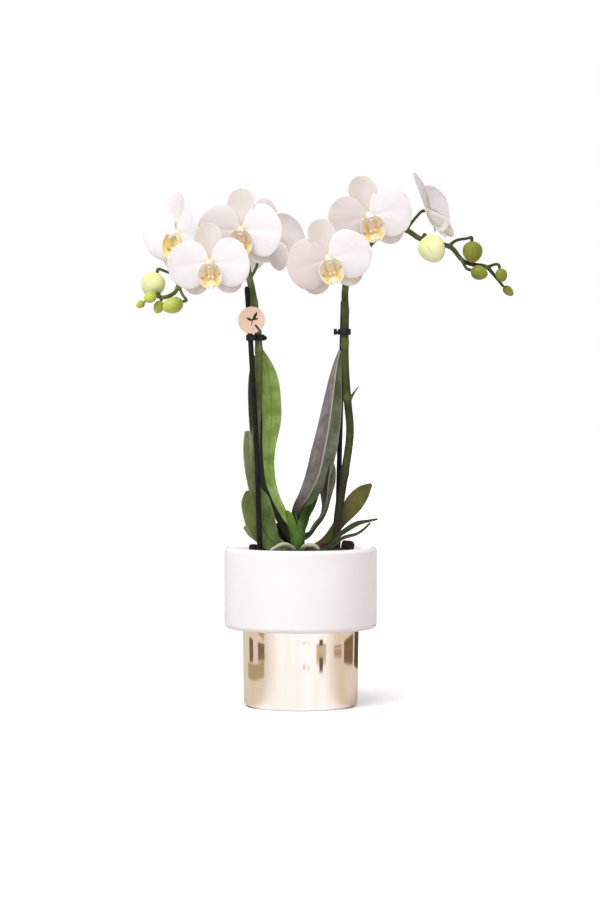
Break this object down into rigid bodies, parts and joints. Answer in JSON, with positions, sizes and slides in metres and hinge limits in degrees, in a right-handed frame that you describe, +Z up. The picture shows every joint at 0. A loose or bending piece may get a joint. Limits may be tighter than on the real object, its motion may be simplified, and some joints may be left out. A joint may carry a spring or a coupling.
{
  "type": "potted orchid",
  "caption": "White moth orchid with arching flower spikes clipped to stakes, in a grow pot inside a stepped white and gold ceramic cover pot.",
  "frame": {"origin": "centre of the cover pot's flat underside", "axes": "+Z up along the pot's axis, -Y towards the side that the flowers face, +X to the right as seen from there"},
  "size_m": [0.2792, 0.1134, 0.3946],
  "materials": {
    "pot_glaze": "gloss white glaze on the wide upper drum and inside; mirror-bright pale champagne gold lustre over the narrow lower cylinder",
    "grow_pot_plastic": "thin smoky translucent moulded plastic, satin",
    "bark": "rough dark red-brown orchid bark",
    "leaf": "waxy mid-green leaf with a pale midrib, grey-purple underneath, soft gloss",
    "stem": "waxy olive-green stem with paler nodes",
    "bud": "waxy lime to olive-green bud",
    "petal": "matt translucent white petal, faint pink in the shade, with fine veins",
    "lip": "white lip with a yellow and orange throat and red-brown dashes",
    "root": "matt silver-green aerial root",
    "stake_plastic": "black-brown satin stake",
    "clip_plastic": "black satin moulded plastic",
    "tag_wood": "pale peach veneer with a plain dark leaf motif"
  },
  "bodies": {
    "root": {"aerial_root_1": "root", "aerial_root_2": "root", "aerial_root_3": "root", "bark_chip_1": "bark", "bark_chip_2": "bark", "bark_chip_3": "bark", "bark_fill": "bark", "bud_left_1": "bud", "bud_left_2": "bud", "bud_left_3": "bud", "bud_left_4": "bud", "bud_left_5": "bud", "bud_right_1": "bud", "bud_right_2": "bud", "bud_right_3": "bud", "bud_right_4": "bud", "bud_right_5": "bud", "clip_left": "clip_plastic", "clip_right": "clip_plastic", "cover_pot": "pot_glaze", "crown": "stem", "flower_1_lip": "lip", "flower_1_petals": "petal", "flower_1_sepals": "petal", "flower_2_lip": "lip", "flower_2_petals": "petal", "flower_2_sepals": "petal", "flower_3_lip": "lip", "flower_3_petals": "petal", "flower_3_sepals": "petal", "flower_4_lip": "lip", "flower_4_petals": "petal", "flower_4_sepals": "petal", "flower_5_lip": "lip", "flower_5_petals": "petal", "flower_5_sepals": "petal", "flower_6_lip": "lip", "flower_6_petals": "petal", "flower_6_sepals": "petal", "flower_7_lip": "lip", "flower_7_petals": "petal", "flower_7_sepals": "petal", "grow_pot": "grow_pot_plastic", "leaf_left_1": "leaf", "leaf_left_2": "leaf", "leaf_left_3": "leaf", "leaf_left_4": "leaf", "leaf_left_5": "leaf", "leaf_right_1": "leaf", "leaf_right_2": "leaf", "leaf_right_3": "leaf", "leaf_right_4": "leaf", "leaf_right_5": "leaf", "leaf_right_6": "leaf", "plant_tag": "tag_wood", "spike_left": "stem", "spike_right": "stem", "stake_left": "stake_plastic", "stake_right": "stake_plastic"}
  },
  "joints": []
}
